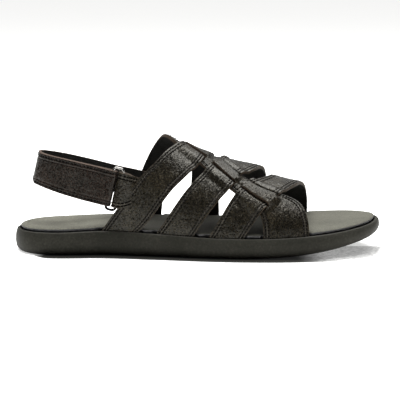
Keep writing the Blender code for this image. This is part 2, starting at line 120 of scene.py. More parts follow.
# Columns of a strap in from its edge and out from a slit, in metres
EDGE_COLUMNS = (0.0, 0.0001, 0.00022, 0.00045, 0.0009, 0.0012, 0.0014, 0.0020, 0.0026, 0.0029,
                0.0032, 0.0037, 0.0043, 0.0049, 0.0053, 0.0060)
SLIT_COLUMNS = (0.0, 0.0001, 0.00022, 0.0005, 0.0011, 0.0020)

# Which of those columns are stitched, and which faces beside them are raw edge, groove and ridge.
# Along a groove, every third face stays leather
STITCHED = (7, 12)
EDGE_BANDS = (0, 1)
GROOVED = (6, 7, 11, 12)
RIDGED = (8, 9, 10)
GROOVE_ROWS = 3

# A wall's materials by number: leather, lining, raw edge, sewn groove painted dark as shade, and the ridge
# between painted light as a highlight
FACE, BACK, CUT, GROOVE, RAISED = range(5)

# Share of a narrow strap that its edge columns may take, steps between them, and the space at a slit
EDGE_PART = 0.46
INNER_STEPS = 10
BETWEEN_STEPS = 9
SLIT_SPARE = 0.0002

# Rows of the long strap and of the others are this far apart
LONG_SPACING = 0.0007
CROSS_SPACING = 0.0008

# Distances within which points are welded and edges dissolved, and angles of a sharp edge in degrees
WELD = 0.000002
PAD_WELD = 0.00001
THIN = 0.000001
STRAP_SHARP = 60
SOLE_SHARP = 35

# The footbed is pressed in at a strap's foot
PRESS_REACH = 0.0022
PRESS_EASE = 0.0016

# Forms of the footbed's top: place along, spread, depth. Its heel is cupped and its ball swells
PAD_FORMS = (
    (0.12, 0.12, -0.0008),
    (0.75, 0.20, 0.0004),
)

# The camera of the photograph, and the size of its floor
CAMERA_TARGET = (0.0017, -0.0039, 0.0387)
CAMERA_DISTANCE = 1.3928
CAMERA_ELEVATION = math.radians(9.926)
CAMERA_LENS = 159.0
FLOOR_SIZE = 30.0

# The painted contact shadow, a dark sheet on the floor: its reach out and in, its height and the places
# where it fades in and out
CONTACT_REACH = 0.0105
TOE_REACH = 0.004
CONTACT_DEEP = 0.006
TOE_DEEP = 0.030
CONTACT_HIGH = 0.0003
CONTACT_EASE = 0.06
CONTACT_HEEL = 0.045
SHADE_HEEL = 0.030
TOE_SHADE = (0.76, 0.12)
TOE_DEPTH = (0.62, 0.14)

# The soft box and the studio's light
LAMP_SIZE = (1.6, 1.0)
LAMP_PLACE = (0.05, 0.20, 1.15)
LAMP_TILT = math.radians(-10)
LAMP_POWER = 34.0
SKY_STRENGTH = 0.45
FLOOR_GLOW = 0.56

# The sole's outline: place along from the heel, and across to the medial side as a share of the ball
OUTLINE = (
    (0.000, -0.039),
    (0.030, -0.261),
    (0.110, -0.361),
    (0.250, -0.357),
    (0.400, -0.422),
    (0.530, -0.490),
    (0.640, -0.518),
    (0.750, -0.513),
    (0.850, -0.458),
    (0.930, -0.341),
    (0.980, -0.188),
    (1.000, 0.023),
    (0.985, 0.192),
    (0.930, 0.377),
    (0.850, 0.487),
    (0.740, 0.522),
    (0.640, 0.480),
    (0.520, 0.384),
    (0.400, 0.312),
    (0.250, 0.305),
    (0.110, 0.295),
    (0.030, 0.175),
)

# Height of the sole's side: place along, and its shares of the heel's, ball's and toe's thickness
THICKNESS = (
    (0.00, 0.94, 0.00, 0.00),
    (0.12, 0.955, 0.00, 0.00),
    (0.26, 1.02, 0.00, 0.00),
    (0.40, 0.73, 0.26, 0.00),
    (0.54, 0.30, 0.67, 0.00),
    (0.68, 0.00, 1.00, 0.00),
    (0.80, 0.00, 0.79, 0.21),
    (0.88, 0.00, 0.52, 0.48),
    (0.94, 0.00, 0.27, 0.73),
    (1.00, 0.00, 0.00, 1.00),
)

# Section of the sole's side from below: inset as a share of the rim, share of the height
SIDE = (
    (1.20, 0.00),
    (0.68, 0.045),
    (0.40, 0.11),
    (0.17, 0.21),
    (0.00, 0.43),
    (0.05, 0.66),
    (0.18, 0.84),
    (0.45, 0.97),
    (0.70, 1.00),
    (0.90, 0.985),
    (1.00, 0.93),
)

# Section of the footbed's edge from below: inset as a share of the rim, share of the height
PAD_EDGE = (
    (0.45, 0.00),
    (0.42, 0.30),
    (0.42, 0.54),
    (0.30, 0.62),
    (0.12, 0.70),
    (0.04, 0.77),
    (0.10, 0.84),
    (0.26, 0.90),
    (0.52, 0.95),
    (0.90, 0.98),
    (1.50, 1.00),
)

# Bands of that section that are the footbed's foam side
PAD_SIDE = 6

# The last: place along, its ridge's rise by the instep and across by the ball, lateral and medial fullness
SECTIONS = (
    (0.20, 1.12, -0.019, 2.0, 2.0),
    (0.30, 1.10, -0.019, 2.0, 2.0),
    (0.42, 0.987, 0.001, 2.0, 2.0),
    (0.46, 0.895, 0.006, 2.0, 2.0),
    (0.50, 0.825, 0.011, 2.0, 2.0),
    (0.58, 0.735, 0.031, 2.0, 2.1),
    (0.62, 0.685, 0.036, 2.05, 2.15),
    (0.66, 0.630, 0.041, 2.1, 2.2),
    (0.70, 0.576, 0.046, 2.15, 2.25),
    (0.74, 0.530, 0.051, 2.2, 2.3),
    (0.82, 0.435, 0.061, 2.3, 2.4),
    (0.90, 0.36, 0.061, 2.3, 2.4),
)

# A strap's rear edge along and round, and its front edge along and round
LONG_STRAP = (
    (0.288, 1.00, 0.396, 1.00),
    (0.316, 0.80, 0.403, 0.82),
    (0.346, 0.617, 0.424, 0.58),
    (0.384, 0.330, 0.455, 0.37),
    (0.414, 0.035, 0.488, 0.25),
    (0.448, -0.128, 0.523, 0.165),
    (0.493, -0.218, 0.558, 0.04),
    (0.535, -0.342, 0.590, -0.165),
    (0.580, -0.464, 0.628, -0.288),
    (0.630, -0.588, 0.674, -0.362),
    (0.661, -0.675, 0.726, -0.403),
    (0.672, -0.783, 0.771, -0.493),
    (0.675, -0.907, 0.791, -0.697),
    (0.674, -1.000, 0.798, -1.000),
)
SLIT_NEAR = 0.35
SLIT_FAR = 0.78

CROSS_STRAPS = {
    "rear": (
        (0.230, -1.000, 0.326, -1.000),
        (0.285, -0.827, 0.380, -0.854),
        (0.351, -0.593, 0.450, -0.560),
        (0.390, -0.450, 0.480, -0.405),
        (0.425, -0.240, 0.501, -0.292),
        (0.447, -0.064, 0.515, -0.150),
        (0.456, 0.040, 0.526, -0.050),
        (0.466, 0.150, 0.536, 0.070),
        (0.474, 0.250, 0.545, 0.180),
        (0.481, 0.380, 0.553, 0.340),
        (0.483, 0.550, 0.557, 0.520),
        (0.480, 0.780, 0.559, 0.780),
        (0.478, 1.000, 0.560, 1.000),
    ),
    "middle": (
        (0.380, -1.000, 0.480, -1.000),
        (0.422, -0.837, 0.514, -0.830),
        (0.472, -0.590, 0.566, -0.571),
        (0.514, -0.364, 0.591, -0.462),
        (0.532, -0.244, 0.600, -0.394),
        (0.546, -0.129, 0.609, -0.320),
        (0.559, -0.040, 0.618, -0.268),
        (0.573, 0.060, 0.632, -0.215),
        (0.590, 0.190, 0.652, -0.110),
        (0.606, 0.380, 0.675, 0.120),
        (0.616, 0.580, 0.690, 0.380),
        (0.620, 0.800, 0.697, 0.700),
        (0.620, 1.000, 0.698, 1.000),
    ),
    "front": (
        (0.521, -1.000, 0.614, -1.000),
        (0.557, -0.800, 0.648, -0.803),
        (0.586, -0.618, 0.674, -0.660),
        (0.605, -0.511, 0.686, -0.609),
        (0.617, -0.440, 0.693, -0.572),
        (0.631, -0.356, 0.700, -0.525),
        (0.645, -0.300, 0.709, -0.475),
        (0.660, -0.235, 0.722, -0.410),
        (0.682, -0.110, 0.747, -0.250),
        (0.705, 0.120, 0.773, -0.040),
        (0.721, 0.420, 0.796, 0.300),
        (0.731, 0.750, 0.808, 0.680),
        (0.733, 1.000, 0.809, 1.000),
    ),
}

# The heel strap's middle line: forward by RING_ALONG, across by BALL, lean in degrees, share of its width
HEEL_LINE = (
    (1.400, 0.143, 8.0, 0.86),
    (1.060, 0.161, 7.0, 0.87),
    (0.860, 0.174, 5.0, 0.89),
    (0.600, 0.176, 3.0, 0.91),
    (0.340, 0.153, 1.0, 0.93),
    (0.140, 0.099, 0.0, 0.94),
    (0.020, 0.021, 0.0, 0.95),
    (0.010, -0.089, 0.0, 0.96),
    (0.120, -0.189, 0.0, 1.00),
    (0.340, -0.261, 1.0, 1.07),
    (0.600, -0.299, 3.0, 1.11),
    (0.820, -0.311, 5.0, 1.11),
    (0.912, -0.314, 6.0, 1.10),
)

# The tab on the last: place along, low and high share of the instep
TAB_ROOT = (
    (0.375, 0.560, 0.773),
    (0.337, 0.533, 0.807),
)
TAB_SEWN = (0.344, 0.549, 0.787)
TAB_BEDDED = 0.6
TAB_ROWS = 60

# Places of the tread's grooves along the sole
GROOVES = (0.08, 0.14, 0.20, 0.52, 0.58, 0.64, 0.70, 0.76, 0.82)

# The middle strap bows up on its far side: row, height of its rear edge and of its front edge
BOW = (
    (5.5, 0.0, 0.0),
    (7.0, 0.0010, 0.0020),
    (8.0, 0.0022, 0.0038),
    (9.0, 0.0022, 0.0042),
    (10.0, 0.0010, 0.0022),
    (11.5, 0.0, 0.0),
)

# How high a crossing strap rides by its place across the long strap, as a share of OVER
RIDE = (
    (-0.34, 0.0),
    (-0.02, 1.0),
    (0.20, 1.0),
    (0.35, 0.12),
    (0.45, 0.0),
    (0.68, 0.0),
    (0.78, 0.12),
    (0.86, 1.0),
    (1.02, 1.0),
    (1.34, 0.0),
)

# Steps of curves and rows
HALF_STEPS = 330
LINE_STEPS = 200
CORNER_STEPS = 13
PAD_STEPS = 46
COARSE_STEPS = 90
SEARCH_STEPS = 260
FEET_STEPS = 240
FOLD_STEPS = 21
FOLD_LEAD = 4

# How near the last's edge its normal is taken, how far round a strap's foot begins, how far a search
# across a strap reaches, and the place that stands for off it
TURN_LIMIT = 0.995
FEET_FROM = 0.93
SEARCH_REACH = 1.6
BEYOND = 9.0


def smooth(rows, at):
    """Values of a table between its rows, by cubic pieces. The first column is the place."""
    table = np.asarray(rows, float)
    knots = table[:, 0]
    values = table[:, 1:]
    slopes = np.gradient(values, knots, axis=0)
    place = np.atleast_1d(np.asarray(at, float))
    cell = np.clip(np.searchsorted(knots, place, side="right") - 1, 0, len(knots) - 2)
    width = (knots[cell + 1] - knots[cell])[:, None]
    part = (place[:, None] - knots[cell][:, None]) / width
    start = values[cell]
    end = values[cell + 1]
    leave = slopes[cell] * width
    arrive = slopes[cell + 1] * width
    square = part ** 2
    cube = part ** 3
    return ((2 * cube - 3 * square + 1) * start + (cube - 2 * square + part) * leave
            + (3 * square - 2 * cube) * end + (cube - square) * arrive)


def rows_by_number(rows):
    """The same table with the row's number as its place."""
    table = np.asarray(rows, float)
    return np.column_stack([np.arange(len(table)), table])


def ease(value):
    """0 to 1, level at both ends."""
    share = np.clip(value, 0.0, 1.0)
    return share * share * (3 - 2 * share)


def unit(vectors):
    """The same vectors, each of length one."""
    return vectors / np.maximum(np.linalg.norm(vectors, axis=-1, keepdims=True), 1e-12)


def turned_left(run):
    """Directions in a plane, a quarter turn to the left."""
    return np.column_stack([-run[:, 1], run[:, 0]])


def along_sole(x):
    """Place along the sole, from 0 at its heel to 1 at its toe."""
    return np.asarray(x, float) / LENGTH + 0.5


def outline_ring(inset=0.0):
    """The outline once round, moved inward. Point i and point -i face each other across the sole."""
    knots = np.asarray(OUTLINE) * (LENGTH, BALL) - (LENGTH / 2, 0.0)
    wrapped = np.vstack([knots[-3:], knots, knots[:4]])
    numbers = np.column_stack([np.arange(len(wrapped)) - 3.0, wrapped])
    steps = np.arange(2 * HALF_STEPS) * len(knots) / (2 * HALF_STEPS)
    points = smooth(numbers, steps)
    chords = np.roll(points, -1, axis=0) - np.roll(points, 1, axis=0)
    return points + np.reshape(inset, (-1, 1)) * turned_left(unit(chords))


def tread_height(x):
    """Height of the sole's underside: flat, then rising to the toe."""
    rise = np.clip((along_sole(x) - SPRING_START) / (1 - SPRING_START), 0.0, None)
    return TOE_SPRING * rise ** 2


def side_height(x):
    """Height of the sole's side at x."""
    along = np.clip(along_sole(x), 0.0, 1.0)
    heel, ball, toe = np.moveaxis(smooth(THICKNESS, along.ravel()).reshape(along.shape + (3,)), -1, 0)
    return heel * HEEL_THICK + ball * BALL_THICK + toe * TOE_THICK


def floor_height(x):
    """Height of the floor of the recess that the footbed lies in."""
    return tread_height(x) + side_height(x) - RECESS


EDGE_RING = outline_ring(RIM + CLEARANCE + STRAP)


def last_edge(x, side):
    """Across of the last's edge, inside the rim by a strap and its clearance."""
    half = EDGE_RING[:HALF_STEPS + 1] if side < 0 else EDGE_RING[np.r_[0, HALF_STEPS:2 * HALF_STEPS]]
    order = np.argsort(half[:, 0])
    return np.interp(x, half[order, 0], half[order, 1])


def last_section(x):
    """Ridge rise, ridge across, lateral and medial fullness, and the two edges at x."""
    row = smooth(SECTIONS, along_sole(x))
    return row[:, 0] * INSTEP, row[:, 1] * BALL, row[:, 2], row[:, 3], last_edge(x, -1), last_edge(x, 1)


def last_points(x, turn):
    """Points of the last's surface at x and round, two arrays of one length."""
    rise, ridge, lateral, medial, low_edge, high_edge = last_section(x)
    full = np.where(turn < 0, lateral, medial)
    edge = np.where(turn < 0, low_edge, high_edge)
    angle = np.clip(np.abs(turn), 0.0, 1.0) * math.pi / 2
    out = np.sin(angle) ** (2 / full)
    up = np.clip(np.cos(angle), 0.0, 1.0) ** (2 / full)
    base = floor_height(x) + CLEARANCE
    return np.column_stack([x, ridge + (edge - ridge) * out, base + rise * up])


def last_surface(x, turn, offset=0.0):
    """The last's surface moved outward along its normal, for arrays of any one shape."""
    shape = np.shape(x)
    x = np.asarray(x, float).ravel()
    turn = np.asarray(turn, float).ravel()
    inner = np.clip(turn, -TURN_LIMIT, TURN_LIMIT)
    step = 0.0005
    swing = 0.004
    by_x = last_points(x + step, inner) - last_points(x - step, inner)
    by_turn = last_points(x, inner + swing) - last_points(x, inner - swing)
    offset = np.broadcast_to(offset, shape).ravel()
    return (last_points(x, turn) + offset[:, None] * unit(np.cross(by_x, by_turn))).reshape(shape + (3,))


def last_turn(x, height, side):
    """Round of the last's surface at x and a height, on one side."""
    rise, _, lateral, medial, _, _ = last_section(x)
    full = lateral if side < 0 else medial
    up = np.clip((height - floor_height(x) - CLEARANCE) / rise, 0.0, 1.0)
    return side * np.arccos(up ** (full / 2)) / (math.pi / 2)


def strap_rows(rows, number):
    """Rear x, rear round, front x and front round of a strap, at places counted in its table's rows."""
    values = smooth(rows_by_number(rows), number)
    values[:, (1, 3)] = np.clip(values[:, (1, 3)], -1.0, 1.0)
    values[:, (0, 2)] = (values[:, (0, 2)] - 0.5) * LENGTH
    return values


def strap_table(rows, steps):
    """The same at even steps along a strap."""
    return strap_rows(rows, np.linspace(0, len(rows) - 1, steps))


def share_across(rows, x, turn):
    """How far across a strap each point lies: 0 at its rear edge, 1 at its front, BEYOND past its ends."""
    scale = np.array([1.0, INSTEP])
    table = strap_table(rows, SEARCH_STEPS)
    rear = table[:, :2] * scale
    front = table[:, 2:] * scale
    points = np.column_stack([np.ravel(x), np.ravel(turn)]) * scale
    rung = front - rear
    to_point = points[:, None, :] - rear[None, :, :]
    side = rung[None, :, 0] * to_point[:, :, 1] - rung[None, :, 1] * to_point[:, :, 0]
    share = (to_point * rung[None]).sum(axis=2) / (rung ** 2).sum(axis=1)[None]
    crossed = np.sign(side[:, 1:]) != np.sign(side[:, :-1])
    distance = np.where(crossed, np.abs(share[:, 1:] - 0.5), BEYOND)
    best = np.argmin(distance, axis=1)
    row = np.arange(len(points))
    found = share[row, best + 1]
    found[distance[row, best] > SEARCH_REACH] = BEYOND
    return found.reshape(np.shape(x))


def band_faces(count, rings):
    """Faces between closed rings of points, each joined to the next."""
    starts = range(0, (rings - 1) * count, count)
    pairs = [(i, (i + 1) % count) for i in range(count)]
    return [(k + i, k + j, k + count + j, k + count + i) for k in starts for i, j in pairs]


def cap_faces(count, first=0):
    """Faces across a closed ring, in which point i and point -i face each other."""
    faces = []
    for i in range(count // 2):
        corners = [i, i + 1, (count - i - 1) % count, (count - i) % count]
        faces.append(tuple(first + corner for corner in dict.fromkeys(corners)))
    return faces


def new_object(name, data):
    """An object in the scene, from its data."""
    made = bpy.data.objects.new(name, data)
    bpy.context.scene.collection.objects.link(made)
    return made


def new_mesh(name, points, faces, materials):
    """An object from points and faces, with its materials."""
    mesh = bpy.data.meshes.new(name)
    mesh.from_pydata([tuple(point) for point in points], [], faces)
    mesh.validate()
    for material in materials:
        mesh.materials.append(material)
    mesh.shade_smooth()
    return new_object(name, mesh)


def finish_mesh(piece, kinds=(), weld=0.0, thin=0.0, sharp=None):
    """Material of each face, points welded within a distance, faces turned outward, sharp edges by angle."""
    for polygon, kind in zip(piece.data.polygons, kinds):
        polygon.material_index = kind
    shape = bmesh.new()
    shape.from_mesh(piece.data)
    if weld:
        bmesh.ops.remove_doubles(shape, verts=shape.verts, dist=weld)
    if thin:
        bmesh.ops.dissolve_degenerate(shape, edges=shape.edges, dist=thin)
    bmesh.ops.recalc_face_normals(shape, faces=shape.faces)
    shape.to_mesh(piece.data)
    shape.free()
    piece.data.shade_smooth()
    if sharp:
        piece.data.set_sharp_from_angle(angle=math.radians(sharp))


def apply_modifiers(piece):
    """Turn the piece's modifiers into its mesh."""
    bpy.context.view_layer.update()
    evaluated = piece.evaluated_get(bpy.context.evaluated_depsgraph_get())
    mesh = bpy.data.meshes.new_from_object(evaluated)
    piece.modifiers.clear()
    old = piece.data
    piece.data = mesh
    bpy.data.meshes.remove(old)
    mesh.name = piece.name


def settle(piece, *nodes, slot=None):
    """The piece rides on the sandal's one body, and stands for the named solids."""
    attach(piece, "root")
    if nodes:
        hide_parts(*nodes)


def fill_inputs(tree, node, inputs):
    """Link each named input of a node to another node's output, or set it to a plain value."""
    for name, value in inputs.items():
        if isinstance(value, bpy.types.NodeSocket):
            tree.links.new(value, node.inputs[name])
        else:
            node.inputs[name].default_value = value


def add_node(tree, kind, inputs):
    """A new shader node with its inputs filled."""
    node = tree.nodes.new(f"ShaderNode{kind}")
    fill_inputs(tree, node, inputs)
    return node


def start_material(name, roughness, metallic=0.0, specular=0.5):
    """A material with its Principled shader and the object coordinates, in metres."""
    material = bpy.data.materials.new(name)
    material.use_nodes = True
    tree = material.node_tree
    shader = tree.nodes["Principled BSDF"]
    fill_inputs(tree, shader, {"Roughness": roughness, "Metallic": metallic, "Specular IOR Level": specular,
                               "Specular Tint": (1.0, 0.97, 0.87, 1.0)})
    return material, tree, shader, add_node(tree, "TexCoord", {}).outputs["Object"]


def share_along(tree, place, axis, low, high):
    """How far a point is between two places on an axis, from 0 to 1."""
    parts = add_node(tree, "SeparateXYZ", {"Vector": place})
    inputs = {"Value": parts.outputs[axis], "From Min": low, "From Max": high}
    return add_node(tree, "MapRange", inputs).outputs["Result"]


def noise(tree, place, scale, detail=3.0, rough=0.55):
    """Soft noise, its scale in cells to the metre."""
    inputs = {"Vector": place, "Scale": scale, "Detail": detail, "Roughness": rough}
    return add_node(tree, "TexNoise", inputs).outputs["Fac"]


def cells(tree, place, scale):
    """A random colour for each Voronoi cell, their scale in cells to the metre."""
    return add_node(tree, "TexVoronoi", {"Vector": place, "Scale": scale}).outputs["Color"]


def ramp(tree, value, stops):
    """A value turned into colours or greys at its stops."""
    node = add_node(tree, "ValToRGB", {"Fac": value})
    elements = node.color_ramp.elements
    while len(elements) < len(stops):
        elements.new(0.5)
    for element, (stop, colour) in zip(elements, stops):
        element.position = stop
        element.color = (*colour, 1.0) if isinstance(colour, tuple) else (colour, colour, colour, 1.0)
    return node.outputs["Color"]


def blend(tree, share, low, high, kind="MULTIPLY"):
    """Two colours blended by a share, each a node's output or a plain colour."""
    node = tree.nodes.new("ShaderNodeMix")
    node.data_type = "RGBA"
    node.blend_type = kind
    sockets = [socket for socket in node.inputs if socket.enabled]
    for socket, value in zip(sockets, (share, low, high)):
        if isinstance(value, bpy.types.NodeSocket):
            tree.links.new(value, socket)
        elif isinstance(value, tuple):
            socket.default_value = (*value, 1.0)
        else:
            socket.default_value = value
    return [socket for socket in node.outputs if socket.enabled][0]


def bump(tree, height, strength, distance):
    """A bump from a height, its distance in metres."""
    inputs = {"Height": height, "Strength": strength, "Distance": distance}
    return add_node(tree, "Bump", inputs).outputs["Normal"]


def vector_step(tree, operation, *vectors):
    """One operation on vectors, each a node's output or plain numbers."""
    node = add_node(tree, "VectorMath", dict(enumerate(vectors)))
    node.operation = operation
    return node.outputs["Vector"]


def facets(tree, colour, normal, tilt):
    """A normal tilted at random in each cell, for leather that glints grain by grain."""
    centred = vector_step(tree, "SUBTRACT", colour, (0.5, 0.5, 0.5))
    scaled = vector_step(tree, "MULTIPLY", centred, (tilt, tilt, tilt))
    return vector_step(tree, "NORMALIZE", vector_step(tree, "ADD", normal, scaled))


def leather_material(name, dark, light, roughness=0.26, specular=0.34):
    """Waxed leather: mottled, with a fine grain whose cells glint at random."""
    material, tree, shader, place = start_material(name, roughness, specular=specular)
    tone = ramp(tree, noise(tree, place, 60.0, 1.5, 0.5), ((0.30, dark), (0.72, light)))
    grain = noise(tree, place, 950.0, 2.0, 0.6)
    pebble = cells(tree, place, 1350.0)
    speck = ramp(tree, pebble, ((0.25, 0.40), (0.50, 0.80), (0.64, 1.4), (0.76, 3.0)))
    fill_inputs(tree, shader, {
        "Base Color": blend(tree, 0.9, tone, speck),
        "Normal": facets(tree, pebble, bump(tree, grain, 0.7, 0.0003), 0.36),
        "Roughness": ramp(tree, grain, ((0.35, roughness - 0.06), (0.65, roughness + 0.10))),
    })
    return material


def grained_material(name, surface, grain, dark, light, relief=0.0):
    """One fine grain from dark to light, each a stop and a colour.

    The surface is its roughness and specular, the grain its cells to the metre, detail and roughness.
    """
    material, tree, shader, place = start_material(name, surface[0], specular=surface[1])
    fine = noise(tree, place, *grain)
    fill_inputs(tree, shader, {"Base Color": ramp(tree, fine, (dark, light))})
    if relief:
        fill_inputs(tree, shader, {"Normal": bump(tree, fine, relief, 0.0003)})
    return material


def raw_edge_and_seam_shade_material(name, dark, light, specular=0.35):
    """The cut edge of the leather: brown fibres. Made near black, the same grain paints the shade in the
    sewn grooves.
    """
    return grained_material(name, (0.75, specular), (1400.0, 3.0, 0.6), (0.32, dark), (0.66, light), 0.7)


def mottled_material(name, surface, patches, tones, grain, specks, shade, relief):
    """Soft patches with a fine grain over them, and painted shade along one axis.

    The surface is its roughness and specular, the patches and grain are cells to the metre, detail and
    roughness, the shade is an axis with its two ends and stops, the relief a bump's strength and distance.
    """
    material, tree, shader, place = start_material(name, surface[0], specular=surface[1])
    fine = noise(tree, place, *grain)
    tone = blend(tree, 0.8, ramp(tree, noise(tree, place, *patches), tones), ramp(tree, fine, specks))
    # Painted shade: the colour is darkened by stops along one axis
    dark = ramp(tree, share_along(tree, place, *shade[:3]), shade[3])
    colour = blend(tree, 1.0, tone, dark)
    fill_inputs(tree, shader, {"Base Color": colour, "Normal": bump(tree, fine, *relief)})
    return material


def nickel_material(low, high):
    """The ring's polished nickel, faintly brushed, with painted shade darkening its lower end."""
    material, tree, shader, place = start_material("nickel", 0.16, metallic=1.0)
    haze = noise(tree, place, 800.0, 2.0)
    bright = ramp(tree, haze, ((0.3, (0.30, 0.29, 0.28)), (0.7, (0.44, 0.43, 0.41))))
    # Painted shade: the lower end, which lies in the strap's shadow, is darker
    height = share_along(tree, place, "Z", low, high)
    lower_shade = ramp(tree, height, ((0.10, 0.06), (0.22, 0.45), (0.80, 1.0)))
    fill_inputs(tree, shader, {
        "Base Color": blend(tree, 1.0, bright, lower_shade),
        "Roughness": ramp(tree, haze, ((0.3, 0.10), (0.7, 0.24))),
    })
    return material


LEATHER = leather_material("leather_dark", (0.0055, 0.0045, 0.0027), (0.0145, 0.0120, 0.0075))
LONG_LEATHER = leather_material("leather_long", (0.0060, 0.0050, 0.0032), (0.0160, 0.0132, 0.0086),
                                specular=0.22)
# A lighter copy of the leather: painted highlight on the swell between the rows of stitches
RIDGE_HIGHLIGHT = leather_material("leather_ridge_highlight", (0.012, 0.0105, 0.0078), (0.031, 0.027, 0.021), 0.36)
HEEL_LEATHER = leather_material("leather_heel", (0.0045, 0.0029, 0.0021), (0.0125, 0.0080, 0.0060),
                                specular=0.24)
# Near black: painted shade in the stitch holes and grooves
SEAM_SHADE = raw_edge_and_seam_shade_material("seam_painted_shade", (0.0010, 0.0009, 0.0008), (0.0045, 0.0038, 0.0030), 0.05)
RAW_EDGE = raw_edge_and_seam_shade_material("raw_edge_brown", (0.012, 0.009, 0.006), (0.060, 0.038, 0.023))
HEEL_EDGE = raw_edge_and_seam_shade_material("raw_edge_tan", (0.018, 0.012, 0.009), (0.105, 0.066, 0.048))

# The straps' lining, near black and napped, and the waxed sewing thread with its twist
LINING = grained_material(
    "lining_black", (0.85, 0.3), (900.0, 4.0, 0.65),
    (0.3, (0.008, 0.008, 0.008)), (0.7, (0.022, 0.021, 0.020)), 0.5)
THREAD_MATERIAL = grained_material(
    "thread_black", (0.60, 0.2), (2200.0, 1.0, 0.5),
    (0.35, (0.004, 0.003, 0.003)), (0.65, (0.012, 0.009, 0.008)))

# The footbed's cover, taupe nubuck with painted shade in the middle under the straps and painted light at
# the heel, and its dark blue-grey foam side
NUBUCK = mottled_material(
    "footbed_taupe", (0.80, 0.35),
    (36.0, 4.0, 0.6), ((0.30, (0.078, 0.077, 0.062)), (0.72, (0.118, 0.116, 0.093))),
    (820.0, 3.0, 0.6), ((0.32, 0.62), (0.55, 1.0), (0.72, 1.35)),
    # Painted light and shade along the footbed: lighter at the heel, darker in the middle where the straps
    # shade it
    ("X", -LENGTH / 2, LENGTH / 2, ((0.20, 1.42), (0.33, 0.30), (0.74, 0.30), (0.82, 1.0))),
    (0.55, 0.00035))
FOAM = grained_material(
    "footbed_side_grey", (0.55, 0.45), (420.0, 3.0, 0.6),
    (0.32, (0.040, 0.041, 0.044)), (0.70, (0.085, 0.086, 0.092)), 0.4)

# The moulded sole: dark olive grey rubber, finely mottled, with painted shade darkening it towards the
# ground
RUBBER = mottled_material(
    "sole_olive", (0.62, 0.24),
    (45.0, 3.0, 0.5), ((0.30, (0.0150, 0.0148, 0.0114)), (0.70, (0.0252, 0.0246, 0.0194))),
    (620.0, 3.0, 0.6), ((0.30, 0.60), (0.60, 1.10), (0.78, 2.0)),
    # Painted shade of the sole's rounded underside and its contact with the floor
    ("Z", 0.0, 0.01, ((0.05, 0.15), (0.50, 1.0))),
    (0.35, 0.00025))

# A strap's materials in the order of a wall's kinds
LEATHER_SET = [LEATHER, LINING, RAW_EDGE, SEAM_SHADE, RIDGE_HIGHLIGHT]


def wobble(x, y, wave, seed):
    """A slow random swell between about -1 and 1, from a few turned sines."""
    draw = np.random.default_rng(seed)
    total = np.zeros_like(x)
    for _ in range(5):
        turn = draw.uniform(0, 2 * math.pi)
        pace = draw.uniform(0.6, 1.6) * 2 * math.pi / wave
        total += np.sin((x * math.cos(turn) + y * math.sin(turn)) * pace + draw.uniform(0, 2 * math.pi))
    return total / 3.0


def edge_round(distance):
    """How far a strap's face drops as it nears its cut edge."""
    reach = np.clip(EDGE_ROUND - distance, 0.0, None)
    return EDGE_ROUND - np.sqrt(EDGE_ROUND ** 2 - reach ** 2)


def stitch_pull(distance):
    """The trough that each row of stitches pulls, and the swell between the rows."""
    trough = sum(np.exp(-((distance - row) / TROUGH_WIDE) ** 2) for row in STITCH_ROWS)
    middle = (STITCH_ROWS[0] + STITCH_ROWS[1]) / 2
    swell = SWELL_SHARE * np.exp(-((distance - middle) / SWELL_WIDE) ** 2)
    return STITCH_TROUGH * (trough - swell)


def edge_distance(distance, width):
    """Distance from the nearer of a strap's two edges."""
    return np.minimum(distance, width[:, None] - distance)


def plain_columns(width):
    """Distances of a strap's columns from its rear edge, for each width, and the inner ones even."""
    width = np.asarray(width)[:, None]
    edge = np.asarray(EDGE_COLUMNS)[None, :] * np.minimum(1.0, EDGE_PART * width / EDGE_COLUMNS[-1])
    inner = edge[:, -1:] + (width - 2 * edge[:, -1:]) * np.linspace(0, 1, INNER_STEPS)[None, 1:-1]
    return np.hstack([edge, inner, (width - edge)[:, ::-1]])


def slit_columns(width):
    """The same for the long strap, its columns doubled at each slit."""
    width = np.asarray(width)[:, None]
    near = SLIT_NEAR * width
    far = SLIT_FAR * width
    needed = EDGE_COLUMNS[-1] + SLIT_COLUMNS[-1] + SLIT_SPARE
    tight = np.minimum(1.0, np.minimum(near, width - far) / needed)
    edge = np.asarray(EDGE_COLUMNS)[None, :] * tight
    lip = np.asarray(SLIT_COLUMNS)[None, :] * tight
    steps = np.linspace(0, 1, BETWEEN_STEPS)[None, 1:-1]
    inner = near + lip[:, -1:] + (far - near - 2 * lip[:, -1:]) * steps
    parts = [edge, (near - lip)[:, ::-1], near + lip, inner, (far - lip)[:, ::-1], far + lip,
             (width - edge)[:, ::-1]]
    first = len(EDGE_COLUMNS) + len(SLIT_COLUMNS) - 1
    second = first + 2 * len(SLIT_COLUMNS) + inner.shape[1]
    return np.hstack(parts), (first, second)


def from_both(numbers, columns):
    """Faces across a strap, counted in from either of its edges."""
    return {j for number in numbers for j in (number, columns - 2 - number)}


